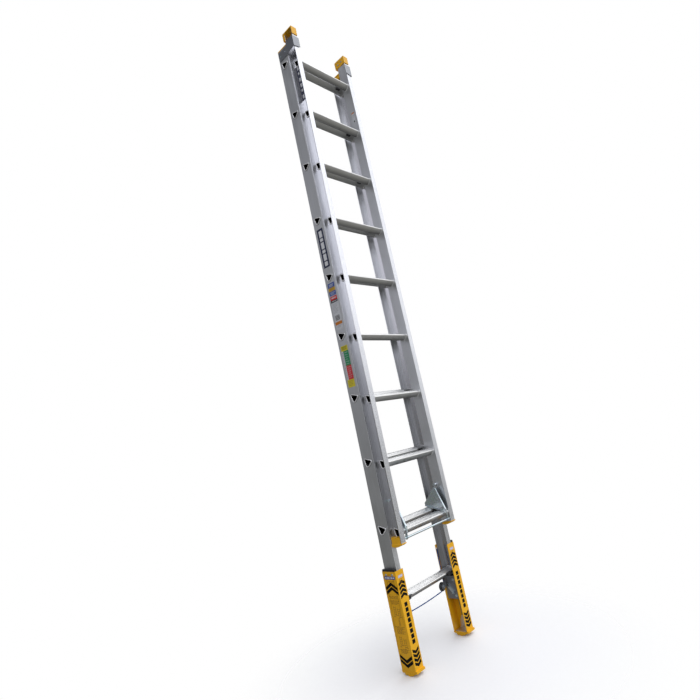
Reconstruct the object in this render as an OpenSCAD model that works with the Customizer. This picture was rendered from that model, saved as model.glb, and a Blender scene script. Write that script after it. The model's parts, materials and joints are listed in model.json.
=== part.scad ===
/* [Ladder] */
// Distance between rung centres
rung_pitch = 305; // [300:1:310]
// Number of rungs in the base section
base_rungs = 10; // [6:1:10]
// Width over the outer faces of the base stiles
base_width = 434; // [430:2:450]
// Height of the lowest rung centre above the ground
first_rung_h = 301; // [299:1:310]
// Lean of the ladder that brings the treads level, in degrees
tread_tilt = 17; // [14:1:18]

/* [Stiles] */
// Depth of a base stile, front to rear
base_depth = 70; // [68:1:70]
// Depth of a fly stile, front to rear
fly_depth = 58; // [56:1:60]
// Width of the flanges of both stiles
flange_w = 30; // [28:1:30]
// Thickness of the flanges
flange_t = 3; // [2.5:0.1:3]
// Thickness of the webs
web_t = 2.5; // [2:0.1:2.5]

/* [Rungs] */
// Wall thickness of a rung
rung_wall = 2; // [1.5:0.1:3]
// How far the swaged rings stand around a rung
ring_grow = 3.5; // [2.5:0.5:4]
// How far the fly rungs sit below the base rungs
fly_drop = 20; // [19:0.5:21]

/* [Levelling legs] */
// Depth of the gap between a base stile and its leg
leg_gap = 13; // [13:0.5:14]
// Length of a leg channel
leg_len = 411; // [405:1:415]
// Radius of the rocking sole of a foot
sole_r = 60; // [56:1:66]

/* [Hidden] */
$fn = 48;
fly_rungs = base_rungs - 1;
SIDES = ["left", "right"];

// Colours
alloy = "silver";
bright = "gainsboro";
casting = "dimgray";
yellow = "goldenrod";
zinc = "lightsteelblue";
nylon = "black";
cord_blue = "royalblue";

// Stile faces, as distances from the middle of the ladder
base_out = base_width / 2;
base_web_in = base_out - web_t;
base_flange_in = base_out - flange_w;
fly_in = base_flange_in - 5;
fly_web_out = fly_in + web_t;
fly_out = fly_in + flange_w + 1;
running_gap = 1;
fly_rear_y = -base_depth / 2 - running_gap;
fly_front_y = fly_rear_y - fly_depth;
fly_rung_y = fly_rear_y - 26.5;

// Lengths along the ladder
base_low = -134;
top_rung_z = rung_pitch * (base_rungs - 1);
base_high = top_rung_z + 95;
fly_low = 240;
fly_high = top_rung_z + 160;
bracket_low = top_rung_z + 34;
bracket_high = top_rung_z + 111;
cap_low = fly_high - 35;
cap_high = fly_high + 11;

// Rung section
tread_half = 16.5;
tread_top = 11;
corner_r = 5;
apex_r = 10;
apex_v = -11.5;
corner_c = [tread_half, tread_top - corner_r];
flank = corner_c - [0, apex_v];
flank_a = atan2(flank.y, flank.x) - acos((apex_r - corner_r) / norm(flank));
rib_step = 4.6;
rib_w = 2;
rib_h = 1;
ring_t = 2;
pad_front = -27;
pad_rear = -12;
pad_h = 22;
groove_w = 1.4;
groove_d = 0.6;
groove_step = 3.6;

// Legs
leg_clear = 0.8;
leg_t = 3;
leg_web_in = base_out + leg_gap;
leg_web_out = leg_web_in + leg_t;
leg_flange_in = base_flange_in - 9;
leg_half_in = base_depth / 2 + leg_clear;
leg_half_out = leg_half_in + leg_t;
leg_low = -283;
leg_high = leg_low + leg_len;
sole_low = -first_rung_h;
foot_lip = 1;

// Placing: the parts are drawn with y zero on the base rungs and z zero on the
// lowest rung, and base_y brings the middle of the depth to y zero
bracket_gap = 0.6;
bracket_t = 3;
front_reach = bracket_gap + bracket_t - fly_front_y;
rear_reach = leg_half_out + foot_lip;
base_y = (front_reach - rear_reach) / 2;

// Levelling gear
pulley_x = base_flange_in - 31;
pulley_y = 32.5;
pulley_z = -66;
pulley_r = 21;
cord_r = 2.5;
groove_r = 16;
cord_turn_r = groove_r + cord_r;
axle_r = 4;
fit_gap = 0.06;
anchor_x = leg_flange_in + 6;
anchor_z = 109;
brake_y = 20;
brake_z = -68;
shaft_r = 4;
strip_half = 6;
strip_t = 3.5;
cam_r = brake_y - strip_half - 0.4;

// Rung locks
pivot_y = -85.5;
pivot_z = 254;
rod_r = 5;
stud_r = 4;
arm_y = -86.8;
lock_x = 160;
lock_t = 3.5;
stud_y = -50;
stud_z = 424;
hook_rear = [24, 326];
hook_front_y = -72;

// ---------- helpers ----------

// Points of an arc about c
function arc(c, r, a0, a1, n) =
    [for (i = [0:n]) let (a = a0 + (a1 - a0) * i / n) c + r * [cos(a), sin(a)]];

// Outline of a rung, grown by g: flat tread, two corners and a rounded keel
function rung_points(g) = concat(
    arc(corner_c, corner_r + g, flank_a, 90, 5),
    arc([-corner_c.x, corner_c.y], corner_r + g, 90, 180 - flank_a, 5),
    arc([0, apex_v], apex_r + g, 180 - flank_a, 360 + flank_a, 8)
);

// Moves the base section's own frame to the part's frame
module on_base() {
    translate([0, base_y, first_rung_h]) children();
}

// Draws on the right side, or mirrored on the left side
module on_side(side) {
    if (side == "right") on_base() children();
    else mirror([1, 0, 0]) on_base() children();
}

// Extrudes a (y, z) outline from x0 to x1
module along_x(x0, x1) {
    translate([x0, 0, 0]) rotate([90, 0, 90]) linear_extrude(x1 - x0) children();
}

// Extrudes an (x, z) outline from y0 to y1
module along_y(y0, y1) {
    translate([0, y1, 0]) rotate([90, 0, 0]) linear_extrude(y1 - y0) children();
}

module box(low, high) {
    translate(low) cube(high - low);
}

// Round bar along X between x0 and x1 at (y, z)
module bar_x(x0, x1, y, z, r) {
    translate([x0, y, z]) rotate([0, 90, 0]) cylinder(r = r, h = x1 - x0);
}

// Round bar along Y between y0 and y1 at (x, z)
module bar_y(y0, y1, x, z, r) {
    translate([x, y0, z]) rotate([-90, 0, 0]) cylinder(r = r, h = y1 - y0);
}

module rung_outline(g) {
    rotate(tread_tilt) polygon(rung_points(g));
}

// Rivet through a wall from x0 to x1, with a head on each side
module rivet_x(x0, x1, y, z, r = 2.4, head_r = 4.6, head_t = 1.6) {
    bar_x(x0 - head_t, x0, y, z, head_r);
    bar_x(x0, x1, y, z, r);
    bar_x(x1, x1 + head_t, y, z, head_r);
}

// ---------- stiles ----------

// Channel outline: web at x_web, flanges towards x_tip
module channel(x_tip, x_web, y0, y1) {
    low = min(x_tip, x_web);
    high = max(x_tip, x_web);
    opens_in = x_tip < x_web;
    difference() {
        translate([low, y0]) square([high - low, y1 - y0]);
        translate([opens_in ? low - 1 : low + web_t, y0 + flange_t])
            square([high - low + 1 - web_t, y1 - y0 - 2 * flange_t]);
        for (x = [low + 2:groove_step:high - groove_w - 1])
            translate([x, y0 - 1]) square([groove_w, 1 + groove_d]);
    }
}

// Rung holes of a web
module rung_holes(count, y, z_first, x0, x1) {
    for (k = [0:count - 1])
        translate([0, y, z_first + k * rung_pitch]) along_x(x0, x1) rung_outline(0);
}

bracket_rivets = [[18, bracket_low + 26], [-20, bracket_low + 29]];
gear_bolts = [[-20, base_low + 18], [-20, base_low + 92]];

module base_stile(side) {
    color(alloy) on_side(side) difference() {
        translate([0, 0, base_low]) linear_extrude(base_high - base_low)
            channel(base_flange_in, base_out, -base_depth / 2, base_depth / 2);
        rung_holes(base_rungs, 0, 0, base_web_in - 1, base_out + 1);
        for (p = bracket_rivets) bar_x(base_web_in - 1, base_out + 1, p.x, p.y, 2.4);
        bar_x(base_web_in - 1, base_out + 1, brake_y, brake_z, shaft_r + 0.6);
    }
}

module fly_stile(side) {
    color(alloy) on_side(side) difference() {
        translate([0, 0, fly_low]) linear_extrude(fly_high - fly_low)
            channel(fly_out, fly_in, fly_front_y, fly_rear_y);
        rung_holes(fly_rungs, fly_rung_y, rung_pitch - fly_drop, fly_in - 1, fly_web_out + 1);
        bar_x(fly_in - 1, fly_web_out + 1, pivot_y, pivot_z, rod_r + fit_gap);
        bar_x(fly_in - 1, fly_web_out + 1, stud_y, stud_z, stud_r);
        for (p = cap_rivets) bar_x(fly_in - 1, fly_web_out + 1, p.x, p.y, 2.4);
    }
}

// ---------- rungs ----------

// Ribs that stand on a tread
module tread_ribs() {
    rotate(tread_tilt) for (i = [-3:3])
        translate([i * rib_step - rib_w / 2, tread_top - 0.5]) square([rib_w, rib_h + 0.5]);
}

// Hollow rung, swaged over the webs that it passes through
module rung(web_in, web_out) {
    end = web_out + ring_t;
    difference() {
        union() {
            along_x(-end, end) rung_outline(0);
            along_x(ring_t - web_in, web_in - ring_t) tread_ribs();
            for (x = [-end, -web_in, web_in - ring_t, web_out])
                along_x(x, x + ring_t) rung_outline(ring_grow);
        }
        along_x(-end - 1, end + 1) rung_outline(-rung_wall);
    }
}

module base_rung(k) {
    color(bright) on_base() translate([0, 0, (k - 1) * rung_pitch]) rung(base_web_in, base_out);
}

module fly_rung(k) {
    color(bright) on_base() translate([0, fly_rung_y, k * rung_pitch - fly_drop])
        rung(fly_in, fly_web_out);
}

// Black buffers in front of each base rung: a block near the stile and a thin lip beside it
module rung_pads() {
    block = [150, 176];
    lip_end = 138;
    color(nylon) on_base() for (k = [0:base_rungs - 1], s = [0, 1])
        mirror([s, 0, 0]) translate([0, 0, k * rung_pitch]) {
            along_x(block[0], block[1]) pad_outline(-12);
            along_x(lip_end, block[0]) pad_outline(1);
        }
}

// Outline of a buffer from its lower edge up to just under the plane of the tread
module pad_outline(low) {
    difference() {
        translate([pad_front, low]) square([pad_rear - pad_front, pad_h]);
        rung_outline(0);
        rotate(tread_tilt)
            translate([-2 * tread_half, tread_top - 0.5]) square([4 * tread_half, pad_h]);
    }
}

// ---------- base section fittings ----------

module base_caps() {
    cap_t = 7;
    color(yellow) on_base() for (s = [0, 1]) mirror([s, 0, 0]) {
        box([base_flange_in, -base_depth / 2, base_high], [base_out, base_depth / 2, base_high + cap_t]);
        box([base_flange_in + 2, -base_depth / 2 + flange_t, base_high - 20],
            [base_web_in, base_depth / 2 - flange_t, base_high]);
    }
}

// Bracket that holds the fly stile against the base stile
module guide_bracket(side) {
    out = base_out + bracket_t;
    front = fly_front_y - bracket_gap;
    face = front - bracket_t;
    color(casting) on_side(side) difference() {
        union() {
            along_x(base_out, out) polygon([
                [29, bracket_low], [29, bracket_low + 52], [-36, bracket_low + 56],
                [-42, bracket_high], [face, bracket_high],
                [face, bracket_low + 12], [-41, bracket_low + 7], [-34, bracket_low]]);
            along_y(face, front) polygon([
                [base_flange_in - 13, bracket_low + 20], [base_flange_in - 13, bracket_high],
                [out, bracket_high], [out, bracket_low + 12]]);
            for (z = [bracket_low + 30, bracket_high - 12])
                box([base_out - 3.2, fly_front_y + 6, z], [base_out, fly_rear_y - 6, z + 5]);
        }
        for (p = bracket_rivets) bar_x(base_out - 1, out + 1, p.x, p.y, 2.4);
    }
}

// Plate inside the lower end of a base stile, with the arm for the pulley
module leveller_bracket(side) {
    plate_in = base_flange_in + 1;
    plate_t = 3;
    arm_y = pulley_y - 10;
    half = base_depth / 2 - flange_t;
    color(casting) on_side(side) difference() {
        union() {
            box([plate_in, -half, base_low + 2], [plate_in + plate_t, half, base_low + 110]);
            box([plate_in + plate_t, -half, base_low + 2], [base_web_in, -half + plate_t, base_low + 104]);
            along_y(arm_y, arm_y + plate_t) difference() {
                union() {
                    translate([pulley_x, pulley_z]) circle(r = 14);
                    polygon([
                        [pulley_x - 4, pulley_z + 13], [plate_in + 0.5, pulley_z + 36],
                        [plate_in + 0.5, pulley_z + 14], [pulley_x + 5, pulley_z - 13]]);
                }
                translate([pulley_x, pulley_z]) circle(r = axle_r);
            }
        }
        bar_x(plate_in - 1, plate_in + plate_t + 1, brake_y, brake_z, shaft_r + fit_gap);
        for (p = gear_bolts) bar_x(plate_in - 1, plate_in + plate_t + 1, p.x, p.y, axle_r);
    }
}

// Nylon runners between a base stile and its leg, one on each side of the brake strip
module leg_guides() {
    color(nylon) on_base() for (s = [0, 1], y = [-1, 1])
        mirror([s, 0, 0]) scale([1, y, 1])
            box([base_out, strip_half + 4, -114], [leg_web_in - 0.5, base_depth / 2 - 2, -86]);
}

module base_fasteners() {
    plate_in = base_flange_in + 1;
    color(zinc) on_base() for (s = [0, 1]) mirror([s, 0, 0]) {
        for (p = bracket_rivets) rivet_x(base_web_in, base_out + bracket_t, p.x, p.y);
        for (p = gear_bolts) {
            bar_x(plate_in - 4, plate_in, p.x, p.y, 6.5);
            bar_x(plate_in, base_web_in, p.x, p.y, axle_r);
        }
    }
}

module pulley_axles() {
    arm_y = pulley_y - 10;
    color(zinc) on_base() for (s = [0, 1]) mirror([s, 0, 0]) {
        bar_y(arm_y - 3, arm_y, pulley_x, pulley_z, 7);
        bar_y(arm_y, pulley_y + 4.3, pulley_x, pulley_z, axle_r);
        bar_y(pulley_y + 4.3, pulley_y + 6, pulley_x, pulley_z, 7);
    }
}

// Grooved wheel for the levelling cord
module pulley(side) {
    half = 4;
    color(casting) on_side(side) translate([pulley_x, pulley_y, pulley_z]) rotate([90, 0, 0])
        rotate_extrude() difference() {
            translate([axle_r + fit_gap, -half]) square([pulley_r - axle_r - fit_gap, 2 * half]);
            translate([groove_r + cord_r, 0]) circle(r = cord_r + 0.3);
            translate([groove_r + cord_r, -cord_r - 0.3]) square([pulley_r, 2 * cord_r + 0.6]);
        }
}

// ---------- levelling cord ----------

// Route across the ladder: down around one pulley, over to the other and up again
cord_sag = 5;
quarter = [for (i = [0:6]) i * 15];
cross_half = concat(
    [for (a = quarter) [pulley_x + cord_turn_r * cos(a), pulley_z - cord_turn_r * sin(a)]],
    [for (i = [1:6]) let (t = i / 6)
        [pulley_x * (1 - t), pulley_z - cord_turn_r - cord_sag * (1 - (1 - t) * (1 - t))]]
);
cross_route = concat(
    [for (p = cross_half) [p.x, pulley_y, p.y]],
    [for (i = [len(cross_half) - 2:-1:0]) [-cross_half[i].x, pulley_y, cross_half[i].y]]
);

// Tube of radius r swept along a route that lies in the plane of one Y
module tube_xz(route, r) {
    n = len(route);
    m = 8;
    function along(i) = route[min(i + 1, n - 1)] - route[max(i - 1, 0)];
    function ring(i) = let (d = along(i) / norm(along(i)), side = [-d.z, 0, d.x])
        [for (j = [0:m - 1]) let (a = 360 * j / m) route[i] + r * (cos(a) * side + sin(a) * [0, 1, 0])];
    points = [for (i = [0:n - 1]) each ring(i)];
    walls = [for (i = [0:n - 2], j = [0:m - 1]) let (k = (j + 1) % m)
        [i * m + j, (i + 1) * m + j, (i + 1) * m + k, i * m + k]];
    ends = [[for (j = [0:m - 1]) j], [for (j = [m - 1:-1:0]) (n - 1) * m + j]];
    polyhedron(points, concat(walls, ends));
}

module cord_cross() {
    color(cord_blue) on_base() tube_xz(cross_route, cord_r);
}

// Run from a pulley up to the leg that it pulls
module cord_run(side) {
    low = [pulley_x + cord_turn_r, pulley_y, pulley_z];
    high = [anchor_x - 4, pulley_y, anchor_z];
    color(cord_blue) on_side(side) tube_xz([for (i = [0:5]) high + (low - high) * i / 5], cord_r);
}

// ---------- fly section fittings ----------

cap_rivets = [[fly_front_y + 19, fly_high - 15], [fly_rear_y - 11, fly_high - 18]];

// Yellow end cap that rests on the wall, ribbed at the rear
module fly_top_cap(side) {
    wall = 3.5;
    rear = fly_rear_y + 14;
    grooves = 4;
    step = (cap_high - cap_low) / grooves;
    color(yellow) on_side(side) difference() {
        box([fly_in - wall, fly_front_y - wall, cap_low], [fly_out + 2, rear, cap_high]);
        box([fly_in, fly_front_y, cap_low - 1], [fly_out + 3, fly_rear_y, fly_high]);
        box([fly_web_out + 2, fly_front_y + 5, cap_low - 1], [fly_out + 3, fly_rear_y - 5, cap_high - 5]);
        for (i = [0:grooves - 1])
            along_x(fly_in - wall - 1, fly_out + 3) translate([rear, cap_low + (i + 0.5) * step])
                polygon([[-2.5, 0], [1, -3.5], [1, 3.5]]);
        for (p = cap_rivets) bar_x(fly_in - wall - 1, fly_in + 1, p.x, p.y, 2.4);
    }
}

// Yellow shoe on the lower end of a fly stile: a curved sole and a plug inside the channel
module fly_foot_cap(side) {
    lip = 1.5;
    sole_t = 15;
    shoe_r = 76;
    shoe_shift = 11;
    plug_h = 27;
    rear = fly_rear_y + 0.4;
    front = fly_front_y - 3;
    centre = [(rear + front) / 2 + shoe_shift, fly_low - sole_t + shoe_r];
    rear_a = 270 + asin((rear - centre.x) / shoe_r);
    front_a = 270 + asin((front - centre.x) / shoe_r);
    color(yellow) on_side(side) {
        along_x(fly_in - lip, fly_out + lip)
            polygon(concat([[rear, fly_low], [front, fly_low]], arc(centre, shoe_r, front_a, rear_a, 10)));
        box([fly_web_out + ring_t + 1.5, fly_front_y + flange_t, fly_low - 1],
            [fly_out - 0.5, fly_rear_y - flange_t, fly_low + plug_h]);
    }
}

// Hooks at the foot of the fly that run behind the front flange of the base
module fly_hooks() {
    plate = 2.8;
    rear = -base_depth / 2 + flange_t + 0.7;
    color(nylon) on_base() for (s = [0, 1]) mirror([s, 0, 0]) {
        box([fly_in - plate, fly_rear_y - 20, 326], [fly_in, rear, 366]);
        box([fly_in - plate, rear, 326], [fly_in + 18, rear + plate, 366]);
    }
}

module fly_rivets() {
    color(zinc) on_base() for (s = [0, 1]) mirror([s, 0, 0])
        for (p = cap_rivets) rivet_x(fly_in - 3.5, fly_web_out, p.x, p.y, head_t = 1.5);
}

// Studs that carry the springs of the rung locks
module lock_studs() {
    head_r = stud_r + 3;
    color(zinc) on_base() for (s = [0, 1]) mirror([s, 0, 0]) {
        bar_x(fly_in - 14, fly_web_out, stud_y, stud_z, stud_r);
        bar_x(fly_in - 16, fly_in - 14, stud_y, stud_z, head_r);
        bar_x(fly_web_out, fly_web_out + 2.5, stud_y, stud_z, head_r);
    }
}

// Torsion springs: a coil on each stud and a leg down to the hook
module lock_springs() {
    wire = 1.1;
    coil_h = 12;
    tip = [hook_rear.x - 4, hook_rear.y + 12];
    leg = tip - [stud_y, stud_z];
    lean = atan2(leg.x, -leg.y);
    color(zinc) on_base() for (s = [0, 1]) mirror([s, 0, 0]) {
        translate([fly_in - coil_h - 1, stud_y, stud_z]) rotate([0, 90, 0])
            difference() {
                cylinder(r = stud_r + 2.5, h = coil_h);
                translate([0, 0, -1]) cylinder(r = stud_r, h = coil_h + 2);
            }
        translate([fly_in - coil_h / 2, stud_y, stud_z]) rotate([lean, 0, 0])
            translate([0, 0, -norm(leg)]) cylinder(r = wire, h = norm(leg) - stud_r - 2);
    }
}

// ---------- rung locks ----------

// Pressed plate: a triangle over both rungs, with an arm down to the cross rod
module lock_plate(side) {
    run = hook_front_y - hook_rear.x;
    hook_front = [hook_front_y, hook_rear.y + run * tan(tread_tilt)];
    hook_t = 3.5;
    hub_r = rod_r + 3.5;
    outline = [
        [stud_y - 8, 410], [stud_y + 4, 412], hook_rear + [4, 14], hook_rear + [3, 3],
        hook_rear, hook_front, [arm_y, hook_front.y - 6], [arm_y, 276],
        [pivot_y + hub_r, pivot_z], [pivot_y - hub_r, pivot_z], [arm_y - 8.5, 284], [arm_y - 7.5, 304]];
    color(zinc) on_side(side) difference() {
        union() {
            along_x(lock_x, lock_x + lock_t) {
                polygon(outline);
                translate([pivot_y, pivot_z]) circle(r = hub_r);
            }
            along_x(lock_x - 8, lock_x + lock_t + 8)
                polygon([hook_rear + [0, 3], hook_rear, hook_front, hook_front + [0, hook_t]]);
        }
        bar_x(lock_x - 1, lock_x + lock_t + 1, pivot_y, pivot_z, rod_r);
    }
}

module lock_rod() {
    color(zinc) on_base() bar_x(-fly_web_out - 3, fly_web_out + 3, pivot_y, pivot_z, rod_r);
}

// ---------- legs ----------

module leg_channel(side) {
    color(yellow) on_side(side) difference() {
        translate([0, 0, leg_low]) linear_extrude(leg_len) difference() {
            translate([leg_flange_in, -leg_half_out])
                square([leg_web_out - leg_flange_in, 2 * leg_half_out]);
            translate([leg_flange_in - 1, -leg_half_in])
                square([leg_web_in - leg_flange_in + 1, 2 * leg_half_in]);
        }
        bar_y(leg_half_in - 1, leg_half_out + 1, anchor_x, anchor_z, 3.5);
        for (y = [-18, 18]) bar_x(leg_web_in - 1, leg_web_out + 1, y, leg_high - 14, 2.4);
    }
}

// Black guide at the top of a leg, with a lip over its edge, held by two rivets
module leg_collar(side) {
    low = leg_high - 28;
    lip_h = 9;
    color(nylon) on_side(side) {
        box([base_out + 3, -leg_half_in + 1, low], [leg_web_in, leg_half_in - 1, leg_high]);
        box([base_out + 3, -leg_half_in, leg_high], [leg_web_out, leg_half_in, leg_high + lip_h]);
        for (y = [-18, 18]) {
            bar_x(leg_web_in, leg_web_out, y, leg_high - 14, 2.4);
            bar_x(leg_web_out, leg_web_out + 1.6, y, leg_high - 14, 5);
        }
    }
}

// Yellow rocking foot with rounded teeth, a flat middle tooth and a toe in front of the leg
module leg_foot(side) {
    teeth = 5;
    tooth_r = 8.6;
    span = 62;
    toe = 7;
    centre = sole_low + sole_r;
    half_a = asin(span / 2 / (sole_r - tooth_r));
    color(yellow) on_side(side) {
        along_x(leg_flange_in - 1, leg_web_out + 1) difference() {
            union() {
                polygon(concat(
                    [[leg_half_out + foot_lip, leg_low], [-leg_half_out - 3, leg_low]],
                    arc([0, centre], sole_r - 4, 270 - 38, 270 + 38, 12)));
                for (i = [0:teeth - 1]) {
                    a = 270 - half_a + 2 * half_a * i / (teeth - 1);
                    translate([0, centre] + (sole_r - tooth_r) * [cos(a), sin(a)]) circle(r = tooth_r);
                }
                translate([-7, sole_low]) square([14, 10]);
            }
            translate([-60, leg_low]) square([120, 60]);
        }
        box([leg_flange_in - 1, -leg_half_out - toe, leg_low - 4], [leg_web_out + 1, -leg_half_out, leg_low + 5]);
    }
}

// Stepped bracket that ties the leg, the foot and the brake strip together
module foot_bracket(side) {
    face = leg_web_in - strip_t;
    color(casting) on_side(side) {
        box([leg_flange_in + 4, -30, leg_low], [leg_web_in, 30, leg_low + 4]);
        along_x(face - 4, face) polygon([
            [-14, -222], [6, -222], [18, -243], [26, leg_low + 4], [-26, leg_low + 4], [-14, -250]]);
        for (y = [-22, 22]) bar_x(face - 8, face - 4, y * 0.5, -262, 5);
    }
}

module brake_strip(side) {
    color(casting) on_side(side)
        box([leg_web_in - strip_t, -strip_half, leg_low + 4], [leg_web_in, strip_half, leg_high - 30]);
}

// ---------- brakes ----------

// Release lever inside the stile, its shaft and the cam beside the brake strip
module brake_lever(side) {
    lever_in = base_flange_in - 4;
    cam_y = 2.4;
    color(zinc) on_side(side) {
        along_x(lever_in, lever_in + 4) {
            translate([brake_y, brake_z]) circle(r = 9);
            polygon([[27, -73], [-4, -106], [-12, -98], [13, -62]]);
        }
        box([lever_in - 7, -12, -106], [lever_in + 4, -4, -102]);
        bar_x(lever_in + 4, leg_web_in - 0.6, brake_y, brake_z, shaft_r);
        bar_x(leg_web_in - 6, leg_web_in - 0.6, brake_y - cam_y, brake_z, cam_r - cam_y);
    }
}

// ---------- all the pieces ----------

for (s = SIDES) {
    base_stile(s);
    guide_bracket(s);
    leveller_bracket(s);
    cord_run(s);
    fly_stile(s);
    fly_top_cap(s);
    fly_foot_cap(s);
    lock_plate(s);
    leg_channel(s);
    leg_collar(s);
    leg_foot(s);
    foot_bracket(s);
    brake_strip(s);
    pulley(s);
    brake_lever(s);
}
for (k = [1:base_rungs])
    base_rung(k);
for (k = [1:fly_rungs])
    fly_rung(k);
base_caps();
leg_guides();
rung_pads();
base_fasteners();
pulley_axles();
cord_cross();
fly_hooks();
fly_rivets();
lock_studs();
lock_springs();
lock_rod();
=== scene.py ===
"""Looks of the extension ladder: camera, light, materials, cord, springs, labels and floor."""
import json
import math

import bmesh
import bpy
from mathutils import Matrix, Vector


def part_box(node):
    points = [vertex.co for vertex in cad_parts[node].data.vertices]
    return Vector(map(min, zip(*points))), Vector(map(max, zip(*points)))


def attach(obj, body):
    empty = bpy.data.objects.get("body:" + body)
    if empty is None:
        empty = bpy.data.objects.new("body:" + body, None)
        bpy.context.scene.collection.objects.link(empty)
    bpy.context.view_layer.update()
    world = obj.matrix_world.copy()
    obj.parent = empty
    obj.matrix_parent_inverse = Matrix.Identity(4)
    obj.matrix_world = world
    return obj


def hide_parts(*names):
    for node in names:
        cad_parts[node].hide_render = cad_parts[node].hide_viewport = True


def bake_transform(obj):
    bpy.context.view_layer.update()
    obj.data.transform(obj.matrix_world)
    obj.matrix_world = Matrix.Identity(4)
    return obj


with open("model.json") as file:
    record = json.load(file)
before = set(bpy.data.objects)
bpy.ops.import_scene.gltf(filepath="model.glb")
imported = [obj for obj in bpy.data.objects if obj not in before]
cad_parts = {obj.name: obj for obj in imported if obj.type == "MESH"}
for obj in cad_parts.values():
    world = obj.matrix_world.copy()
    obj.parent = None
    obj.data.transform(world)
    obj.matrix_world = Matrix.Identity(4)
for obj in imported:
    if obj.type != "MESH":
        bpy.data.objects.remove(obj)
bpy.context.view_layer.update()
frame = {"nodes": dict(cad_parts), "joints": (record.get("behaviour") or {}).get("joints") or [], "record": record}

MM = 0.001
SIDES = {"left": -1, "right": 1}
NODES = frame["nodes"]


# ---------- places, all taken from the frame ----------

def low(node):
    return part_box(node)[0]


def high(node):
    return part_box(node)[1]


def middle(node):
    a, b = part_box(node)
    return (a + b) / 2


def hinge(joint):
    """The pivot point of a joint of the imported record."""
    found = [j for j in frame["joints"] if j["name"] == joint][0]
    return Vector(found["pos_m"])


TREAD_HALF = 16.5 * MM
TREAD_TOP = 11 * MM
CORNER_R = 5 * MM
KEEL_R = 10 * MM
KEEL_Z = -11.5 * MM
TREAD_TILT = math.radians(17)
BORE_GROW = -2 * MM
RING_GROW = 3.5 * MM
WEB_T = 2.5 * MM


def rung_outline(grow, arc_steps=6):
    """Points (y, z) round a rung's section, grown outwards: two tread corners and the keel."""
    corner_z = TREAD_TOP - CORNER_R
    flank = math.atan2(corner_z - KEEL_Z, TREAD_HALF) - math.acos(
        (KEEL_R - CORNER_R) / math.hypot(TREAD_HALF, corner_z - KEEL_Z))
    points = []
    for y, z, r, start, end, steps in (
            (TREAD_HALF, corner_z, CORNER_R, flank, math.pi / 2, arc_steps),
            (-TREAD_HALF, corner_z, CORNER_R, math.pi / 2, math.pi - flank, arc_steps),
            (0, KEEL_Z, KEEL_R, math.pi - flank, 2 * math.pi + flank, 2 * arc_steps)):
        for i in range(steps + 1):
            angle = start + (end - start) * i / steps
            points.append((y + (r + grow) * math.cos(angle), z + (r + grow) * math.sin(angle)))
    turn = Matrix.Rotation(TREAD_TILT, 2)
    return [turn @ Vector(p) for p in points]


def rung_centre(node):
    """The point (y, z) of a rung's own axis, from the box round its swaged rings."""
    ring = rung_outline(RING_GROW, 24)
    rise_y = (min(p.x for p in ring) + max(p.x for p in ring)) / 2
    rise_z = (min(p.y for p in ring) + max(p.y for p in ring)) / 2
    return middle(node).y - rise_y, middle(node).z - rise_z


def rung_z(section, k):
    """Height of the axis of rung k of a section."""
    return rung_centre(f"{section}_rung_{k}")[1]


BASE_WEB_X = high("base_stile_right").x
FLY_WEB_X = low("fly_stile_right").x
LEG_WEB_X = high("leg_channel_right").x
LEG_FRONT_Y = low("leg_channel_right").y
LEG_HIGH = high("leg_channel_right").z
BASE_Y = middle("base_stile_right").y


# ---------- camera ----------

CAMERA_PLACE = (-1.9363, -1.6126, 1.0089)
CAMERA_YAW = 46.95
CAMERA_PITCH = 10.36
CAMERA_ROLL = -11.91
CAMERA_LENS = 25.82


def make_camera():
    yaw, pitch, roll = (math.radians(a) for a in (CAMERA_YAW, CAMERA_PITCH, CAMERA_ROLL))
    ahead = Vector((math.sin(yaw) * math.cos(pitch), math.cos(yaw) * math.cos(pitch), math.sin(pitch)))
    level = Vector((math.cos(yaw), -math.sin(yaw), 0))
    right = level * math.cos(roll) + level.cross(ahead) * math.sin(roll)
    up = right.cross(ahead)
    data = bpy.data.cameras.new("camera")
    data.lens = CAMERA_LENS
    data.sensor_width = 36
    camera = bpy.data.objects.new("camera", data)
    bpy.context.scene.collection.objects.link(camera)
    camera.matrix_world = Matrix.Translation(CAMERA_PLACE) @ Matrix((right, up, -ahead)).transposed().to_4x4()
    bpy.context.scene.camera = camera


make_camera()


# ---------- node helpers ----------

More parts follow.
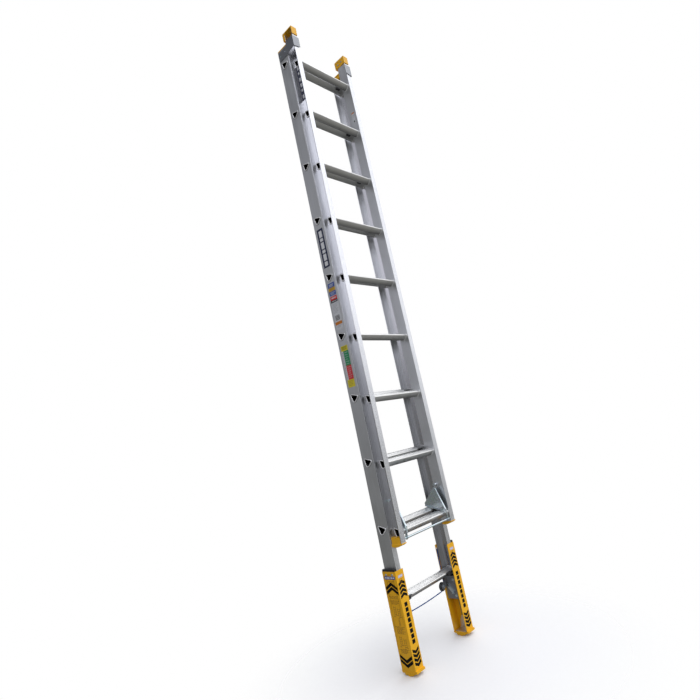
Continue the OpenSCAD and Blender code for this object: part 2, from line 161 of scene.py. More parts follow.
class Tree:
    """A short way to write a node tree."""

    def __init__(self, tree):
        self.tree = tree
        tree.nodes.clear()

    def add(self, kind, inputs=(), out=0, **settings):
        node = self.tree.nodes.new(kind)
        for key, value in settings.items():
            setattr(node, key, value)
        for key, value in dict(inputs).items():
            socket = node.inputs[key]
            if isinstance(value, bpy.types.NodeSocket):
                self.tree.links.new(value, socket)
            else:
                socket.default_value = value
        return node.outputs[out] if node.outputs else None

    def math(self, operation, *values):
        return self.add("ShaderNodeMath", dict(enumerate(values)), operation=operation)

    def vector(self, operation, *values, out=0):
        return self.add("ShaderNodeVectorMath", dict(enumerate(values)), out, operation=operation)

    def ramp(self, value, low_in, high_in, low_out=0.0, high_out=1.0, smooth=True):
        return self.add("ShaderNodeMapRange",
                        {"Value": value, "From Min": low_in, "From Max": high_in,
                         "To Min": low_out, "To Max": high_out},
                        interpolation_type="SMOOTHSTEP" if smooth else "LINEAR")

    def mix(self, factor, a, b):
        node = self.tree.nodes.new("ShaderNodeMix")
        node.data_type = "RGBA"
        for index, value in ((0, factor), (6, a), (7, b)):
            if isinstance(value, bpy.types.NodeSocket):
                self.tree.links.new(value, node.inputs[index])
            else:
                node.inputs[index].default_value = value
        return node.outputs[2]

    def split(self, vector):
        """The three parts of a vector."""
        node = self.tree.nodes.new("ShaderNodeSeparateXYZ")
        self.tree.links.new(vector, node.inputs[0])
        return node.outputs

    def place(self):
        return self.add("ShaderNodeTexCoord", out=3)

    def stretched(self, scale):
        """Object coordinates in metres, multiplied by scale on each axis."""
        return self.vector("MULTIPLY", self.place(), scale)

    def noise(self, scale, detail=3.0, rough=0.6):
        return self.add("ShaderNodeTexNoise",
                        {"Vector": self.stretched(scale), "Scale": 1.0, "Detail": detail, "Roughness": rough})

    def bump(self, height, strength, distance, normal=None):
        inputs = {"Height": height, "Strength": strength, "Distance": distance}
        if normal is not None:
            inputs["Normal"] = normal
        return self.add("ShaderNodeBump", inputs)


def rgb(*values):
    return (*values, 1.0)


def surface(name, build):
    """A material whose Principled inputs build(tree) returns."""
    material = bpy.data.materials.new(name)
    material.use_nodes = True
    tree = Tree(material.node_tree)
    shader = tree.add("ShaderNodeBsdfPrincipled", build(tree))
    tree.add("ShaderNodeOutputMaterial", {"Surface": shader})
    return material


# ---------- materials ----------

def brushed(tree, colour, rough, grain, wear=0.5):
    """Extruded or rolled metal: die lines along the grain, cloudy tone, fine scratches."""
    across, along = 1400.0, 9.0
    fine = [along if g else across for g in grain]
    broad = [2.5 if g else 160.0 for g in grain]
    lines = tree.noise(fine, 4.0, 0.7)
    bands = tree.noise(broad, 3.0, 0.5)
    clouds = tree.noise((11.0, 11.0, 5.0), 3.0, 0.55)
    specks = tree.noise((330.0, 330.0, 330.0), 2.0, 0.5)
    tone = tree.math("ADD", tree.ramp(bands, 0.3, 0.7, -0.07, 0.07), tree.ramp(clouds, 0.3, 0.7, -0.06, 0.06))
    tone = tree.math("ADD", tone, tree.ramp(lines, 0.2, 0.8, -0.05, 0.05))
    tone = tree.math("ADD", tone, tree.ramp(specks, 0.66, 0.8, 0.0, -0.12 * wear))
    dark = rgb(*(c * 0.84 for c in colour))
    light = rgb(*(min(1.0, c * 1.2) for c in colour))
    base = tree.mix(tree.math("ADD", tone, 0.5), dark, light)
    roughness = tree.math("ADD", tree.ramp(clouds, 0.25, 0.75, rough - 0.07, rough + 0.07),
                          tree.ramp(lines, 0.2, 0.8, -0.06, 0.06))
    normal = tree.bump(lines, 0.22, 0.0004)
    return {"Base Color": base, "Metallic": 1.0, "Roughness": roughness, "Normal": normal}


def satin_lip(name):
    """The rolled lip of a rung end: bare and matt, painted lighter and half diffuse as a highlight."""
    def build(tree):
        inputs = brushed(tree, (0.90, 0.90, 0.91), 0.38, (False, False, False))
        # painted highlight: a lighter colour and a part-diffuse finish make the lip look lit
        inputs["Metallic"] = 0.55
        return inputs
    return surface(name, build)


# Inside of the stile channels: colour (lighter than the outer faces, a painted reflection), share of the outer
# roughness, and the heights in metres between which painted shade darkens it towards the ground
INSIDE_COLOUR = (0.92, 0.92, 0.96)
INSIDE_SMOOTH = 0.5
INSIDE_SHADE_HEIGHTS = (1.75, 1.15)
INSIDE_SHADE_FACTOR = 0.55

# Painted shade on a rung's lower flanks, stronger on the base rungs behind the fly rungs: its share at the tread
# and at the keel
FLANK_PAINTED_SHADE = {"base": (0.15, 0.58), "fly": (0.0, 0.68)}


def stile_alloy(name, colour, rough, opens_out):
    """Stile metal: dull outer faces, and a smoother inside painted lighter as a reflection, with painted shade
    that darkens it near the ground.
    """
    def build(tree):
        inputs = brushed(tree, colour, rough, (False, False, True))
        place = tree.split(tree.place())
        facing = tree.split(tree.add("ShaderNodeNewGeometry", out=1))
        outward = tree.math("MULTIPLY", facing[0], tree.math("SIGN", place[0]))
        inside = tree.math("GREATER_THAN", tree.math("MULTIPLY", outward, 1.0 if opens_out else -1.0), 0.5)
        # painted reflection and painted shade: the inside gets a lighter lining that darkens towards the ground
        low_shade = tree.ramp(place[2], *INSIDE_SHADE_HEIGHTS)
        lining = tree.mix(low_shade, rgb(*INSIDE_COLOUR), rgb(*(c * INSIDE_SHADE_FACTOR for c in INSIDE_COLOUR)))
        inputs["Base Color"] = tree.mix(inside, inputs["Base Color"], lining)
        inputs["Roughness"] = tree.math("MULTIPLY", inputs["Roughness"],
                                        tree.ramp(inside, 0.0, 1.0, 1.0, INSIDE_SMOOTH))
        return inputs
    return surface(name, build)


def rung_alloy(name, section):
    """Satin rung metal whose bore is painted near black as shade, and whose lower flanks get painted shade: a bore
    face looks back at the rung's own axis.
    """
    first = Vector((0, *rung_centre(f"{section}_rung_1")))
    pitch = rung_z(section, 2) - rung_z(section, 1)

    def build(tree):
        inputs = brushed(tree, (0.80, 0.80, 0.79), 0.36, (True, False, False))
        offset = tree.vector("SUBTRACT", tree.place(), first)
        parts = tree.split(offset)
        turned = tree.split(tree.add("ShaderNodeNewGeometry", out=1))
        z = tree.math("WRAP", parts[2], pitch / 2, -pitch / 2)
        facing = tree.math("ADD", tree.math("MULTIPLY", parts[1], turned[1]),
                           tree.math("MULTIPLY", z, turned[2]))
        # painted shade: faces inside the bore, which look back at the rung's axis, are coloured near black
        bore = tree.math("LESS_THAN", facing, -1.0 * MM)
        # painted shade: down-facing flanks darken from the tread towards the keel
        low_side = tree.ramp(turned[2], -0.25, -0.55, 0.0, 1.0)
        depth = tree.math("ADD", tree.math("MULTIPLY", z, math.cos(TREAD_TILT)),
                          tree.math("MULTIPLY", parts[1], -math.sin(TREAD_TILT)))
        flank_shade = tree.ramp(depth, 7 * MM, -17 * MM, *FLANK_PAINTED_SHADE[section], smooth=False)
        flank_shade = tree.math("MULTIPLY", flank_shade, low_side)
        inputs["Base Color"] = tree.mix(flank_shade, inputs["Base Color"], rgb(0.03, 0.03, 0.028))
        inputs["Base Color"] = tree.mix(bore, inputs["Base Color"], rgb(0.004, 0.004, 0.004))
        inputs["Roughness"] = tree.math("MAXIMUM", inputs["Roughness"], tree.math("MULTIPLY", bore, 0.9))
        return inputs

    return surface(name, build)


def coated(name, colour, rough=0.38, peel=0.12):
    """Powder coat or moulded plastic: orange peel, slight tone changes and dust."""
    def build(tree):
        peel_noise = tree.noise((900.0, 900.0, 900.0), 2.0, 0.5)
        clouds = tree.noise((22.0, 22.0, 14.0), 4.0, 0.6)
        scuffs = tree.noise((700.0, 700.0, 40.0), 3.0, 0.6)
        shade = tree.math("ADD", tree.ramp(clouds, 0.3, 0.75, 0.35, 0.65),
                          tree.ramp(scuffs, 0.68, 0.8, 0.0, 0.2))
        base = tree.mix(shade, rgb(*(c * 0.86 for c in colour)), rgb(*(min(1.0, c * 1.12) for c in colour)))
        roughness = tree.ramp(clouds, 0.3, 0.7, rough - 0.05, rough + 0.09)
        return {"Base Color": base, "Roughness": roughness, "Normal": tree.bump(peel_noise, peel, 0.0005),
                "Specular IOR Level": 0.45}
    return surface(name, build)


def cast_alloy(name, colour, rough):
    """Sand-textured casting or sawn extrusion."""
    def build(tree):
        inputs = brushed(tree, colour, rough, (False, False, True), 1.0)
        grit = tree.noise((1900.0, 1900.0, 1900.0), 3.0, 0.6)
        inputs["Normal"] = tree.bump(grit, 0.3, 0.0004, inputs["Normal"])
        return inputs
    return surface(name, build)


def zinc_plate(name, colour, rough):
    """Zinc-plated steel with its faint spangle."""
    def build(tree):
        inputs = brushed(tree, colour, rough, (False, False, False), 0.4)
        spangle = tree.add("ShaderNodeTexVoronoi", {"Vector": tree.stretched((240.0,) * 3), "Scale": 1.0}, 1)
        tint = tree.mix(0.12, inputs["Base Color"], spangle)
        inputs["Base Color"] = tint
        return inputs
    return surface(name, build)


def braid(name):
    """Blue braided cord with lighter flecks."""
    def build(tree):
        flecks = tree.noise((1500.0, 1500.0, 1500.0), 2.0, 0.5)
        base = tree.mix(tree.ramp(flecks, 0.45, 0.65), rgb(0.002, 0.042, 0.20), rgb(0.006, 0.09, 0.32))
        return {"Base Color": base, "Roughness": 0.72, "Normal": tree.bump(flecks, 0.5, 0.0006),
                "Specular IOR Level": 0.2}
    return surface(name, build)


def print_film(name, colour, rough=0.42, shine=0.5):
    """Printed label film with slight unevenness."""
    def build(tree):
        grain = tree.noise((600.0, 600.0, 600.0), 3.0, 0.6)
        base = tree.mix(tree.ramp(grain, 0.3, 0.7, 0.3, 0.7), rgb(*(c * 0.88 for c in colour)),
                         rgb(*(min(1.0, c * 1.1) for c in colour)))
        return {"Base Color": base, "Roughness": tree.ramp(grain, 0.3, 0.7, rough - 0.05, rough + 0.08),
                "Normal": tree.bump(grain, 0.05, 0.0004), "Specular IOR Level": shine}
    return surface(name, build)


YELLOW = (0.84, 0.435, 0.010)
SLOTS = {
    "base_alloy": stile_alloy("base_alloy", (0.62, 0.63, 0.64), 0.44, False),
    "fly_alloy": stile_alloy("fly_alloy", (0.70, 0.71, 0.73), 0.40, True),
    "base_rung_alloy": rung_alloy("base_rung_alloy", "base"),
    "fly_rung_alloy": rung_alloy("fly_rung_alloy", "fly"),
    "bright_lip": satin_lip("bright_lip"),
    "foot_bracket_alloy": cast_alloy("foot_bracket_alloy", (0.68, 0.69, 0.71), 0.42),
    "yellow_plastic": coated("yellow_plastic", YELLOW, 0.42, 0.2),
    "yellow_paint": coated("yellow_paint", YELLOW, 0.33),
    "foot_rubber": coated("foot_rubber", YELLOW, 0.55, 0.3),
    # painted shade: the bracket's grey is darkened to stand in for the shade on its side plate
    "bracket_alloy": cast_alloy("bracket_alloy", (0.29, 0.30, 0.32), 0.45),
    "black_nylon": coated("black_nylon", (0.016, 0.016, 0.018), 0.5, 0.2),
    "pulley_nylon": coated("pulley_nylon", (0.05, 0.052, 0.056), 0.45, 0.15),
    "zinc_steel": zinc_plate("zinc_steel", (0.66, 0.75, 0.79), 0.28),
    "dark_steel": zinc_plate("dark_steel", (0.16, 0.16, 0.17), 0.42),
    "blue_cord": braid("blue_cord"),
}
FILMS = {
    "navy": print_film("film_navy", (0.008, 0.012, 0.055)),
    "white": print_film("film_white", (0.72, 0.73, 0.75)),
    "silver": print_film("film_silver", (0.60, 0.61, 0.64)),
    "grey": print_film("film_grey", (0.17, 0.17, 0.17)),
    "black": print_film("film_black", (0.004, 0.004, 0.004), 0.62, 0.12),
    "blue": print_film("film_blue", (0.03, 0.08, 0.33)),
    "lilac": print_film("film_lilac", (0.42, 0.42, 0.72)),
    "amber": print_film("film_amber", (0.62, 0.36, 0.02)),
    "lemon": print_film("film_lemon", (0.66, 0.56, 0.03)),
    "red": print_film("film_red", (0.60, 0.02, 0.03)),
    "green": print_film("film_green", (0.01, 0.24, 0.09)),
    "orange": print_film("film_orange", (0.55, 0.17, 0.01)),
    "umber": print_film("film_umber", (0.20, 0.085, 0.008)),
}


def paint_nodes():
    """Every CAD node gets the material of its slot."""
    for part in frame["record"]["subparts"]:
        name = part["node"]
        slot = part["material_slot"]
        if slot == "rung_alloy":
            slot = name.split("_")[0] + "_rung_alloy"
        if name.startswith("foot_bracket"):
            slot = "foot_bracket_alloy"
        node = NODES[name]
        node.data.materials.clear()
        node.data.materials.append(SLOTS[slot])


paint_nodes()


# ---------- edges ----------

EDGE_WIDTH = {
    "base_rung": 0.35, "fly_rung": 0.35, "base_stile": 0.3, "fly_stile": 0.3, "leg_channel": 0.9,
    "leg_foot": 1.2, "fly_top_cap": 0.8, "fly_foot_cap": 1.0, "base_caps": 1.2, "guide_bracket": 0.8,
    "base_fasteners": 0.9, "fly_rivets": 0.9, "leg_collar": 0.8, "lock_plate": 0.5, "leveller_bracket": 0.5,
}
PLAIN_EDGE = 0.4


def round_edges():
    """Real edges are never knife sharp: each CAD node gets a small bevel on its edges."""
    for name, node in NODES.items():
        if name.startswith("cord"):
            continue
        stem = next((s for s in EDGE_WIDTH if name.startswith(s)), None)
        weld = node.modifiers.new("weld", "WELD")
        weld.merge_threshold = 0.00001
        bevel = node.modifiers.new("edges", "BEVEL")
        bevel.width = EDGE_WIDTH.get(stem, PLAIN_EDGE) * MM
        bevel.segments = 2
        bevel.limit_method = "ANGLE"
        bevel.angle_limit = math.radians(32)
        bevel.use_clamp_overlap = True
        smooth = node.modifiers.new("shading", "WEIGHTED_NORMAL")
        smooth.keep_sharp = False
        for face in node.data.polygons:
            face.use_smooth = True


round_edges()


# ---------- mesh helpers ----------

def new_piece(name, mesh_data, body, materials):
    piece = bpy.data.objects.new(name, mesh_data)
    bpy.context.scene.collection.objects.link(piece)
    for material in materials:
        mesh_data.materials.append(material)
    if body:
        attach(piece, body)
    return piece


def tube_mesh(name, points, radius, sides=12):
    """A closed tube along points. radius is a number, or a function of (length so far, angle)."""
    mesh = bmesh.new()
    rings = []
    travelled = 0.0
    side = None
    for i, point in enumerate(points):
        ahead = (points[min(i + 1, len(points) - 1)] - points[max(i - 1, 0)]).normalized()
        if side is None:
            side = ahead.orthogonal().normalized()
        side = (side - ahead * side.dot(ahead)).normalized()
        other = ahead.cross(side)
        if i:
            travelled += (point - points[i - 1]).length
        ring = []
        for j in range(sides):
            angle = 2 * math.pi * j / sides
            r = radius(travelled, angle) if callable(radius) else radius
            ring.append(mesh.verts.new(point + r * (math.cos(angle) * side + math.sin(angle) * other)))
        rings.append(ring)
    for a, b in zip(rings, rings[1:]):
        for j in range(sides):
            k = (j + 1) % sides
            mesh.faces.new((a[j], a[k], b[k], b[j])).smooth = True
    mesh.faces.new(list(reversed(rings[0])))
    mesh.faces.new(rings[-1])
    bmesh.ops.recalc_face_normals(mesh, faces=mesh.faces)
    data = bpy.data.meshes.new(name)
    mesh.to_mesh(data)
    mesh.free()
    return data


def resampled(points, step):
    """Points every step along a polyline, with its two ends kept."""
    lengths = [0.0]
    for a, b in zip(points, points[1:]):
        lengths.append(lengths[-1] + (b - a).length)
    count = max(2, round(lengths[-1] / step))
    result = []
    i = 0
    for n in range(count + 1):
        at = lengths[-1] * n / count
        while i < len(points) - 2 and lengths[i + 1] < at:
            i += 1
        share = (at - lengths[i]) / (lengths[i + 1] - lengths[i])
        result.append(points[i].lerp(points[i + 1], min(1.0, share)))
    return result


# ---------- levelling cord ----------

CORD_R = 2.5 * MM
CORD_SAG = 5 * MM
CORD_TURN_R = 18.5 * MM
CORD_STEP = 1.4 * MM
CORD_SIDES = 16
BRAID_TURN = 11 * MM
BRAID_DEPTH = 0.12 * MM


def braid_radius(travelled, angle):
    """Eight strands of the braid, four each way, stand a little proud of the cord."""
    turn = 2 * math.pi * travelled / BRAID_TURN
    ridge = max(math.sin(4 * angle + turn * 4), math.sin(4 * angle - turn * 4))
    return CORD_R - BRAID_DEPTH + BRAID_DEPTH * ridge


def make_cords():
    hub = hinge("right_pulley_spin")
    half = []
    for step in range(19):
        angle = math.radians(step * 5)
        half.append(Vector((hub.x + CORD_TURN_R * math.cos(angle), hub.y,
                            hub.z - CORD_TURN_R * math.sin(angle))))
    for step in range(1, 13):
        t = step / 12
        drop = CORD_TURN_R + CORD_SAG * (1 - (1 - t) ** 2)
        half.append(Vector((hub.x * (1 - t), hub.y, hub.z - drop)))
    other = [Vector((-p.x, p.y, p.z)) for p in reversed(half[:-1])]
    points = resampled(half + other, CORD_STEP)
    data = tube_mesh("levelling_cord_cross", points, braid_radius, CORD_SIDES)
    cross = new_piece("levelling_cord_cross", data, "base", [SLOTS["blue_cord"]])
    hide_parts("cord_cross")
    for side, sign in SIDES.items():
        box_low, box_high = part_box(f"cord_{side}")
        top_x = max(abs(box_low.x), abs(box_high.x)) - CORD_R
        start = Vector((sign * (abs(hub.x) + CORD_TURN_R), hub.y, hub.z))
        end = Vector((sign * top_x, hub.y, box_high.z))
        run = resampled([start, end], CORD_STEP)
        name = f"levelling_cord_{side}"
        data = tube_mesh(name, run, braid_radius, CORD_SIDES)
        piece = new_piece(name, data, None, [SLOTS["blue_cord"]])
        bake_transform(piece)
        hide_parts(f"cord_{side}")


make_cords()


# ---------- swaged rung ends ----------

LIP_RISE = 3.4 * MM
SHADOW_RING_W = 1.1 * MM
SHADOW_RING_RISE = 0.5 * MM
LIP_SIDES = 10


def lip_ring(mesh, x, axis_y, axis_z, inner, outer, rise, material=0):
    """A rounded lip round a rung at x, between two outlines of its section."""
    line = rung_outline((inner + outer) / 2, 8)
    half = (outer - inner) / 2
    count = len(line)
    rings = []
    for i in range(count):
        ahead = (line[(i + 1) % count] - line[i - 1]).normalized()
        out = Vector((ahead.y, -ahead.x))
        ring = []
        for j in range(LIP_SIDES):
            angle = 2 * math.pi * j / LIP_SIDES
            at = line[i] + out * (half * math.cos(angle))
            ring.append(mesh.verts.new((x + rise * math.sin(angle), axis_y + at.x, axis_z + at.y)))
        rings.append(ring)
    for i in range(count):
        a, b = rings[i], rings[(i + 1) % count]
        for j in range(LIP_SIDES):
            k = (j + 1) % LIP_SIDES
            face = mesh.faces.new((a[j], a[k], b[k], b[j]))
            face.smooth = True
            face.material_index = material


def make_lips():
    """Each rung end is rolled over its web: a full lip outside ringed by a thin dark band of painted contact
    shadow, a thinner one inside.
    """
    for section in ("base", "fly"):
        outer_x = BASE_WEB_X if section == "base" else FLY_WEB_X + WEB_T
        for side, sign in SIDES.items():
            mesh = bmesh.new()
            for name in sorted(n for n in NODES if n.startswith(f"{section}_rung_")):
                y, z = rung_centre(name)
                lip_ring(mesh, sign * outer_x, y, z, BORE_GROW, RING_GROW, LIP_RISE)
                # painted shadow: a thin dark band round the outer lip where it meets the web
                lip_ring(mesh, sign * outer_x, y, z, RING_GROW, RING_GROW + SHADOW_RING_W, SHADOW_RING_RISE, 1)
                lip_ring(mesh, sign * (outer_x - WEB_T), y, z, 0.0, RING_GROW, LIP_RISE)
            bmesh.ops.recalc_face_normals(mesh, faces=mesh.faces)
            name = f"{section}_rung_lips_{side}"
            data = bpy.data.meshes.new(name)
            mesh.to_mesh(data)
            mesh.free()
            new_piece(name, data, section, [SLOTS["bright_lip"], SLOTS["dark_steel"]])


make_lips()


# ---------- labels ----------

FILM_T = 0.10 * MM


def rect(x0, y0, x1, y1):
    return [(x0, y0), (x1, y0), (x1, y1), (x0, y1)]


def chevron(x, tip, half, rise, thick):
    """A V-shaped mark with its tip at (x, tip); a negative rise opens it downwards."""
    t = math.copysign(thick, -rise)
    return [(x, tip), (x + half, tip + rise), (x + half, tip + rise + t), (x, tip + t),
            (x - half, tip + rise + t), (x - half, tip + rise)]


def decal(name, body, centre, across, up, marks):
    """Thin films on a flat face. A mark is (colour, outline in mm, layer); across x up points out."""
    out = across.cross(up).normalized()
    mesh = bmesh.new()
    colours = []
    for colour, outline, layer in marks:
        if colour not in colours:
            colours.append(colour)
        area = sum(a[0] * b[1] - b[0] * a[1] for a, b in zip(outline, outline[1:] + outline[:1]))
        if area < 0:
            outline = outline[::-1]
        top = [centre + across * (x * MM) + up * (y * MM) + out * (FILM_T * layer) for x, y in outline]
        bottom = [p - out * (FILM_T * 0.9) for p in top]
        tops = [mesh.verts.new(p) for p in top]
        bottoms = [mesh.verts.new(p) for p in bottom]
        faces = [mesh.faces.new(tops), mesh.faces.new(bottoms[::-1])]
        for i in range(len(tops)):
            j = (i + 1) % len(tops)
            faces.append(mesh.faces.new((bottoms[i], bottoms[j], tops[j], tops[i])))
        for face in faces:
            face.material_index = colours.index(colour)
    data = bpy.data.meshes.new(name)
    mesh.to_mesh(data)
    mesh.free()
    return new_piece(name, data, body, [FILMS[c] for c in colours])


def text_lines(colour, x0, x1, top, rows, pitch, thick, layer=2):
    """Rows of short dashes that stand for small print. Each row ends at a different place."""
    marks = []
    for row in range(rows):
        y = top - row * pitch
        end = x1 - (x1 - x0) * (0.0, 0.18, 0.07, 0.3)[row % 4]
        x = x0
        k = row
        while x < end:
            word = (x1 - x0) * (0.14, 0.24, 0.1, 0.19)[k % 4]
            marks.append((colour, rect(x, y - thick, min(x + word, end), y), layer))
            x += word + (x1 - x0) * 0.05
            k += 1
    return marks


UP = Vector((0, 0, 1))


def stile_labels():
    """Labels on the outer web of the left base stile, each between two rungs."""
    across = Vector((0, -1, 0))

    def between(k):
        return Vector((-BASE_WEB_X, BASE_Y, (rung_z("base", k) + rung_z("base", k + 1)) / 2))

    plate = [("navy", rect(-21.5, -103, 21.5, 103), 1)]
    for k, (size, gap) in enumerate(((34, 0), (16, 40), (34, 62), (16, 102), (34, 124), (22, 164))):
        plate.append(("white", rect(-11, 92 - gap - size, 11, 92 - gap), 2))
    decal("stile_label_navy", "base", between(6), across, UP, plate)

    half = 23
    bands = [("blue", 119, 95), ("amber", 95, 77), ("blue", 77, 55), ("red", 51, 31), ("black", 31, 19),
             ("silver", 19, -119)]
    marks = [(colour, rect(-half, b, half, a), 1) for colour, a, b in bands]
    marks += text_lines("white", -15, 15, 112, 2, 7, 3.4)
    marks += text_lines("umber", -15, 15, 90, 2, 6, 2.2)
    marks += text_lines("white", -15, 15, 71, 2, 7, 3.0)
    marks += text_lines("white", -15, 16, 45, 1, 7, 6)
    marks += text_lines("white", -17, 17, 27.5, 1, 7, 3.5)
    marks += text_lines("grey", -17, 17, 12, 8, 6.4, 1.4)
    marks.append(("grey", rect(-15, -72, 14, -48), 2))
    marks += text_lines("silver", -12, 11, -51, 3, 7, 2, 3)
    marks.append(("orange", rect(-half, -95, half, -80), 2))
    marks += text_lines("grey", -12, 14, -100, 2, 6, 1.6)
    decal("stile_label_ratings", "base", between(5), across, UP, marks)

    marks = [("lemon", rect(-half, 76, half, 102), 1), ("silver", rect(-half, -65, -11, 76), 1),
             ("green", rect(-11, 3, half, 76), 1), ("red", rect(-11, -65, half, 3), 1),
             ("lemon", rect(-half, -102, half, -65), 1)]
    marks += text_lines("black", -18, 18, 97, 3, 6, 2.4)
    marks += text_lines("white", -5, 18, 68, 6, 11, 1.6)
    marks += text_lines("white", -5, 18, -4, 6, 10, 1.6)
    marks += text_lines("umber", -17, 17, -71, 4, 7, 1.6)
    marks += text_lines("grey", -20, -13, 68, 11, 12, 2.0)
    decal("stile_label_chart", "base", between(4), across, UP, marks)


def fly_labels():
    """The upright label in the left fly channel and the small one inside the right fly web."""
    y = middle("fly_stile_left").y + 11 * MM
    place = Vector((-FLY_WEB_X - WEB_T, y, (rung_z("fly", 8) + rung_z("fly", 9)) / 2 + 32 * MM))
    marks = [("grey", rect(-16, -104, 14, 104), 1), ("navy", rect(-12, -104, 14, 104), 2)]
    for k, size in enumerate((21, 14, 21, 21, 14, 21)):
        top = 99 - 34 * k
        marks.append(("white", rect(-4, top - size, 8, top), 3))
    decal("fly_label_upright", "fly", place, Vector((0, -1, 0)), UP, marks)

    place = Vector((FLY_WEB_X, middle("fly_stile_right").y - 5 * MM,
                    (rung_z("fly", 8) + rung_z("fly", 9)) / 2 - 55 * MM))
    marks = [("silver", rect(-10, -36, 10, 36), 1), ("orange", rect(-10, 26, 10, 34), 2),
             ("black", rect(-3, -28, 5, -18), 2)]
    marks += text_lines("grey", -7, 7, 20, 4, 5, 1.2)
    decal("fly_label_small", "fly", place, Vector((0, -1, 0)), UP, marks)


def leg_front_marks():
    """Marks on a leg's front flange: up to zero at the leg's top, x from its middle."""
    marks = [("lilac", rect(-14, -31, 16, -20), 1)]
    marks += text_lines("white", -11, 13, -23, 1, 5, 5)
    marks += text_lines("umber", -12, 13, -36, 3, 5.5, 2)
    for k in range(4):
        marks.append(("black", chevron(0, -54 - 17 * k, 21.5, -11, 12.5), 1))
    for k in range(8):
        top = -134 - 21.7 * k
        marks.append(("black", rect(-10, top - 17, 10, top), 1))
    for k in range(4):
        marks.append(("black", chevron(0, -331 - 17 * k, 21.5, 11, 12.5), 1))
    return marks


def leg_side_marks():
    """Marks on a leg's outer face: a strip, big chevrons, small print and line drawings."""
    marks = [("blue", rect(-31, -33, 31, -20), 1)]
    marks += text_lines("white", -26, 27, -23.5, 1, 5, 6)
    marks += text_lines("umber", -12, 18, -40, 3, 5, 2.2, 1)
    for k in range(2):
        marks.append(("black", chevron(0, -59.5 - 18 * k, 34, -21, 14), 1))
        marks.append(("black", chevron(0, -364.5 - 18 * k, 34, 21, 14), 1))
    for top, rows in ((-103, 3), (-121, 4), (-229, 7), (-322, 4)):
        marks += text_lines("umber", -20, 27, top, rows, 4.6, 2.0, 1)
        marks.append(("umber", rect(-27, top - 4, -24, top), 1))
    for top in (-144, -268):
        marks += drawing(-8, top)
        marks += drawing(14, top - 8)
    marks += drawing(6, -200, 0.55)
    return marks


def drawing(x, top, size=1.0):
    """A small outline drawing of a ladder on uneven ground."""
    thick = 1.3
    wide, tall = 13 * size, 44 * size
    marks = [("umber", rect(x - wide / 2, top - tall, x - wide / 2 + thick, top), 1),
             ("umber", rect(x + wide / 2 - thick, top - tall * 0.85, x + wide / 2, top - 2), 1)]
    for k in range(5):
        y = top - tall * (0.12 + 0.17 * k)
        marks.append(("umber", rect(x - wide / 2 + thick, y - thick, x + wide / 2 - thick, y), 1))
    marks.append(("umber", rect(x - wide, top - tall - thick, x, top - tall), 1))
    marks.append(("umber", rect(x, top - tall * 0.85 - thick, x + wide, top - tall * 0.85), 1))
    return marks


def leg_labels():
    for side, sign in SIDES.items():
        centre_x = middle(f"leg_channel_{side}").x
        front = Vector((centre_x, LEG_FRONT_Y, LEG_HIGH))
        decal(f"leg_front_marks_{side}", f"{side}_leg", front, Vector((1, 0, 0)), UP, leg_front_marks())
        outer = Vector((sign * LEG_WEB_X, BASE_Y, LEG_HIGH))
        decal(f"leg_side_marks_{side}", f"{side}_leg", outer, Vector((0, sign, 0)), UP, leg_side_marks())


stile_labels()
fly_labels()
leg_labels()


# ---------- torsion springs, lock edges and rivet heads ----------

WIRE_R = 1.1 * MM
COIL_R = 5.4 * MM
COIL_TURNS = 5
COIL_STEPS = 16
COIL_START = math.radians(35)
COIL_GAP = 0.1 * MM
COIL_INSET = 12 * MM
HOOK_INSET = 1.5 * MM


def make_springs():
    """A close-wound coil on each stud with one leg down to the lock's hook."""
    for side, sign in SIDES.items():
        stud = middle("lock_studs")
        spring_low, spring_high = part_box("lock_springs")
        tip_y = spring_high.y - HOOK_INSET
        tip_z = spring_low.z + HOOK_INSET
        points = []
        start_x = FLY_WEB_X - COIL_INSET
        for i in range(COIL_STEPS * COIL_TURNS + 1):
            angle = 2 * math.pi * i / COIL_STEPS + COIL_START
            x = start_x + (2 * WIRE_R + COIL_GAP) * i / COIL_STEPS
            points.append(Vector((sign * x, stud.y + COIL_R * math.sin(angle),
                                  stud.z + COIL_R * math.cos(angle))))
        last = points[-1]
        for i in range(1, 21):
            t = i / 20
            points.append(Vector((last.x, last.y + (tip_y - last.y) * t, last.z + (tip_z - last.z) * t)))
        name = f"lock_spring_{side}"
        data = tube_mesh(name, points, WIRE_R, 8)
        piece = new_piece(name, data, "fly", [SLOTS["zinc_steel"]])
        if side == "left":
            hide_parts("lock_springs")


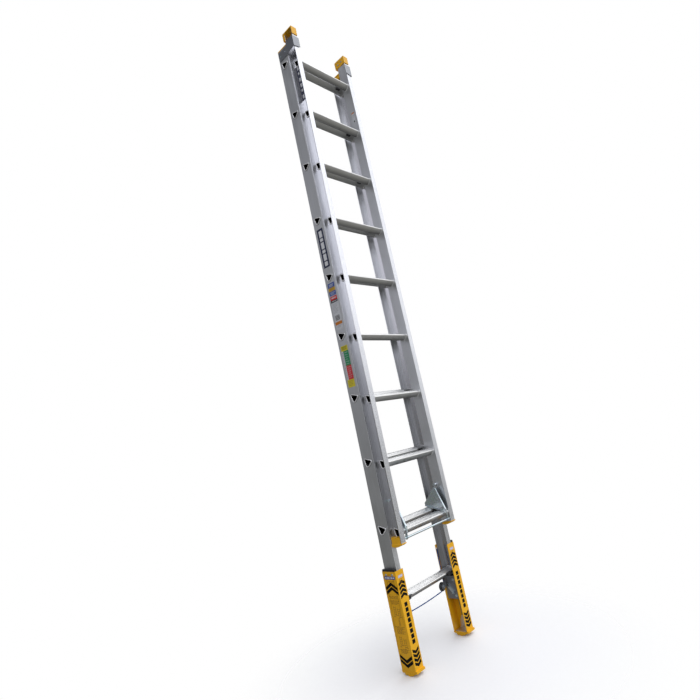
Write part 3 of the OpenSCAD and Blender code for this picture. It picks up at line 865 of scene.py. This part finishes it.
def make_lock_edges():
    """The front edge of each lock plate is folded in towards the middle of the ladder."""
    hub = hinge("rung_lock_swing")
    for side, sign in SIDES.items():
        plate_low, plate_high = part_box(f"lock_plate_{side}")
        plate_x = (abs(plate_low.x) + abs(plate_high.x)) / 2 - 1.75 * MM
        top = Vector((0, low("lock_studs").y - 1.5 * MM, plate_high.z - 2 * MM))
        bend = Vector((0, plate_low.y + 1.5 * MM, hub.z + 50 * MM))
        foot = Vector((0, plate_low.y + 1.0 * MM, hub.z + 22 * MM))
        mesh = bmesh.new()
        rows = []
        for point in (top, bend, foot):
            row = []
            for x, y in ((plate_x - 5.5 * MM, -1.2 * MM), (plate_x + 1.2 * MM, -1.2 * MM),
                         (plate_x + 1.2 * MM, 0.6 * MM), (plate_x - 5.5 * MM, 0.6 * MM)):
                row.append(mesh.verts.new((sign * x, point.y + y, point.z)))
            rows.append(row)
        for a, b in zip(rows, rows[1:]):
            for j in range(4):
                k = (j + 1) % 4
                mesh.faces.new((a[j], a[k], b[k], b[j]))
        mesh.faces.new(rows[0][::-1])
        mesh.faces.new(rows[-1])
        bmesh.ops.recalc_face_normals(mesh, faces=mesh.faces)
        name = f"lock_edge_{side}"
        data = bpy.data.meshes.new(name)
        mesh.to_mesh(data)
        mesh.free()
        piece = new_piece(name, data, "rung_locks", [SLOTS["zinc_steel"]])
        soften(piece, 0.5 * MM)


def soften(piece, width):
    bevel = piece.modifiers.new("edges", "BEVEL")
    bevel.width = width
    bevel.segments = 2


RIVET_R = 5.3 * MM
RIVET_FLATNESS = 0.34
RIVET_OUT = 0.9 * MM
RIVET_SPREAD = 18 * MM
RIVET_DROP = 14 * MM


def make_rivet_heads():
    """Plated heads over the two rivets that hold each leg's collar."""
    for side, sign in SIDES.items():
        mesh = bmesh.new()
        for y in (-RIVET_SPREAD, RIVET_SPREAD):
            place = Vector((sign * (LEG_WEB_X + RIVET_OUT), BASE_Y + y, LEG_HIGH - RIVET_DROP))
            flat = Matrix.Translation(place) @ Matrix.Diagonal((RIVET_FLATNESS, 1, 1, 1))
            bmesh.ops.create_uvsphere(mesh, u_segments=20, v_segments=12, radius=RIVET_R, matrix=flat)
        for face in mesh.faces:
            face.smooth = True
        name = f"leg_rivets_{side}"
        data = bpy.data.meshes.new(name)
        mesh.to_mesh(data)
        mesh.free()
        new_piece(name, data, f"{side}_leg", [SLOTS["zinc_steel"]])


make_springs()
make_lock_edges()
make_rivet_heads()


# ---------- floor and light ----------

FLOOR_R = 1.1
FLOOR_SOLID_R = 0.25
FLOOR_IN_METAL = (0.30, 0.295, 0.28)


def make_floor():
    mesh = bmesh.new()
    bmesh.ops.create_circle(mesh, cap_ends=True, segments=96, radius=FLOOR_R)
    data = bpy.data.meshes.new("floor")
    mesh.to_mesh(data)
    mesh.free()
    floor = bpy.data.objects.new("floor", data)
    bpy.context.scene.collection.objects.link(floor)
    floor.location.z = -0.2 * MM
    material = bpy.data.materials.new("floor")
    material.use_nodes = True
    tree = Tree(material.node_tree)
    grain = tree.noise((70.0, 70.0, 70.0), 3.0, 0.6)
    base = tree.mix(grain, rgb(0.86, 0.86, 0.86), rgb(0.90, 0.90, 0.90))
    seen = tree.add("ShaderNodeLightPath")
    tone = tree.mix(seen, rgb(*FLOOR_IN_METAL), base)
    pale = tree.add("ShaderNodeBsdfPrincipled", {"Base Color": tone, "Roughness": 0.8})
    clear = tree.add("ShaderNodeBsdfTransparent")
    distance = tree.vector("LENGTH", tree.place(), out=1)
    fade = tree.ramp(distance, FLOOR_SOLID_R, FLOOR_R * 0.95)
    both = tree.add("ShaderNodeMixShader", {0: fade, 1: pale, 2: clear})
    tree.add("ShaderNodeOutputMaterial", {"Surface": both})
    data.materials.append(material)


# Each lobe of the studio above the horizon: where it is, where it starts and is full, and its light
LOBES = (
    ((0.70, -0.66, 0.30), -0.10, 0.75, (1.20, 1.21, 1.24)),
    ((-0.60, -0.62, 0.50), 0.45, 0.95, (0.70, 0.71, 0.77)),
    ((-0.70, 0.62, 0.30), 0.935, 0.995, (0.44, 0.44, 0.48)),
    ((0.0, -0.35, 0.94), 0.60, 0.97, (0.35, 0.35, 0.37)),
    ((0.76, 0.43, 0.45), 0.74, 0.97, (0.60, 0.61, 0.63)),
)
DIM = (0.135, 0.14, 0.15)
BELOW_FRONT = (0.30, 0.30, 0.285)
BELOW_REAR = (0.19, 0.19, 0.18)


def make_light():
    world = bpy.data.worlds.new("studio")
    world.use_nodes = True
    bpy.context.scene.world = world
    tree = Tree(world.node_tree)
    way = tree.add("ShaderNodeTexCoord", out=0)
    height = tree.vector("DOT_PRODUCT", way, (0, 0, 1), out=1)
    above = rgb(*DIM)
    for direction, start, full, strength in LOBES:
        facing = tree.vector("DOT_PRODUCT", way, Vector(direction).normalized(), out=1)
        share = tree.ramp(facing, start, full)
        glow = tree.vector("SCALE", strength)
        tree.tree.links.new(share, glow.node.inputs[3])
        above = tree.vector("ADD", above[:3] if isinstance(above, tuple) else above, glow)
    forward = tree.vector("DOT_PRODUCT", way, (0, -1, 0), out=1)
    below = tree.mix(tree.ramp(forward, -0.45, 0.45), rgb(*BELOW_REAR), rgb(*BELOW_FRONT))
    colour = tree.mix(tree.ramp(height, -0.16, 0.16), below, above)
    lit = tree.add("ShaderNodeBackground", {"Color": colour, "Strength": 1.0})
    white = tree.add("ShaderNodeBackground", {"Color": rgb(1.0, 1.0, 1.0), "Strength": 1.0})
    seen = tree.add("ShaderNodeLightPath")
    both = tree.add("ShaderNodeMixShader", {0: seen, 1: lit, 2: white})
    tree.add("ShaderNodeOutputWorld", {"Surface": both})
    bpy.context.scene.view_settings.view_transform = "Standard"


make_floor()
make_light()
